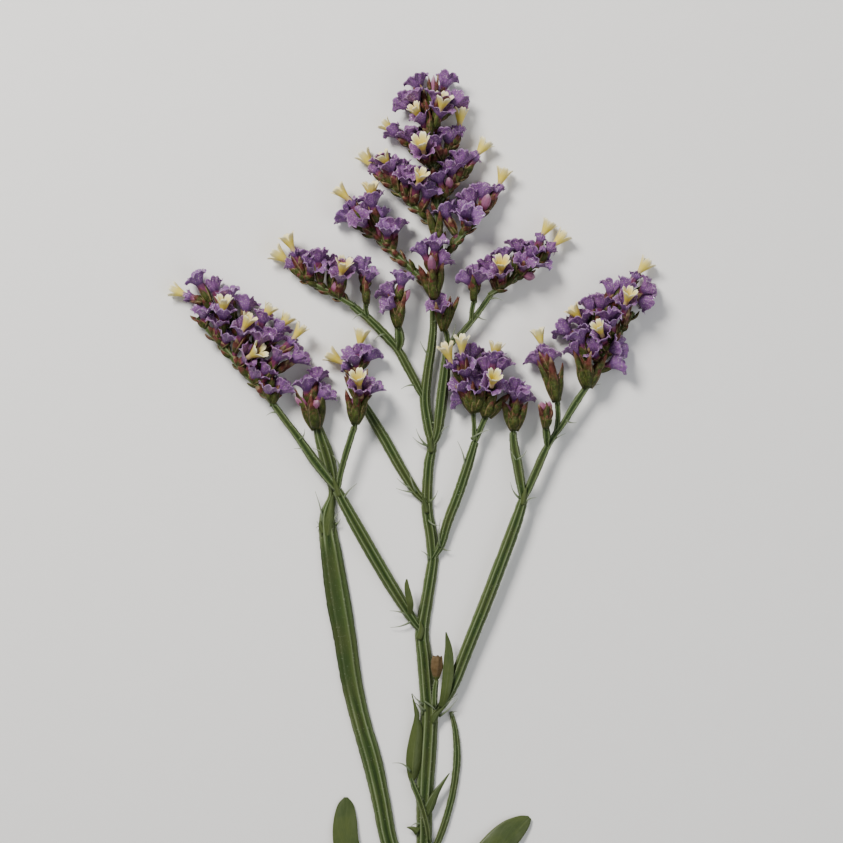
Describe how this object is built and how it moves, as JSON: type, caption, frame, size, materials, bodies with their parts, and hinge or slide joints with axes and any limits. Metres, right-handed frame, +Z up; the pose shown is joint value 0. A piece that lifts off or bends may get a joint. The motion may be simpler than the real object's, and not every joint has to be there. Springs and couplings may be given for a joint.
{
  "type": "statice stem",
  "caption": "Cut flowering stem with winged branches, narrow leaves and one-sided spikes of papery purple funnels and small cream corollas, laid flat for decoration",
  "frame": {"origin": "on the surface that the stem lies on, under the main stem at the fork of its right branch", "axes": "+Y runs along the main stem from its cut end to its tip, +X to the right as seen from above, +Z up from the surface"},
  "size_m": [0.195, 0.3543, 0.0245],
  "materials": {
    "stem": "fresh green stem, matt, with paler wing edges",
    "leaf": "fresh green blade, soft sheen",
    "flowers": "dry papery purple calyces with cream corollas",
    "bud": "dry brown bud scales"
  },
  "bodies": {
    "root": {"main_stem": "stem", "left_stem": "stem", "right_slender_stem": "stem", "left_branch": "stem", "middle_left_branch": "stem", "upper_left_branch": "stem", "right_branch": "stem", "middle_right_branch": "stem", "centre_branch": "stem", "top_spikes": "flowers", "upper_left_spike": "flowers", "upper_left_side_spike": "flowers", "small_spike": "flowers", "upper_right_spike": "flowers", "upper_right_side_spike": "flowers", "centre_buds": "flowers", "left_spike": "flowers", "left_lower_spike": "flowers", "middle_left_front_spike": "flowers", "middle_left_back_spike": "flowers", "middle_right_spikes": "flowers", "right_inner_spike": "flowers", "right_small_spike": "flowers", "right_spike": "flowers", "right_bud": "bud", "axil_bud": "bud", "lower_left_leaf": "leaf", "lower_right_leaf": "leaf", "stem_wing_leaf": "leaf", "left_axil_leaf": "leaf", "right_axil_leaf": "leaf"}
  },
  "joints": []
}
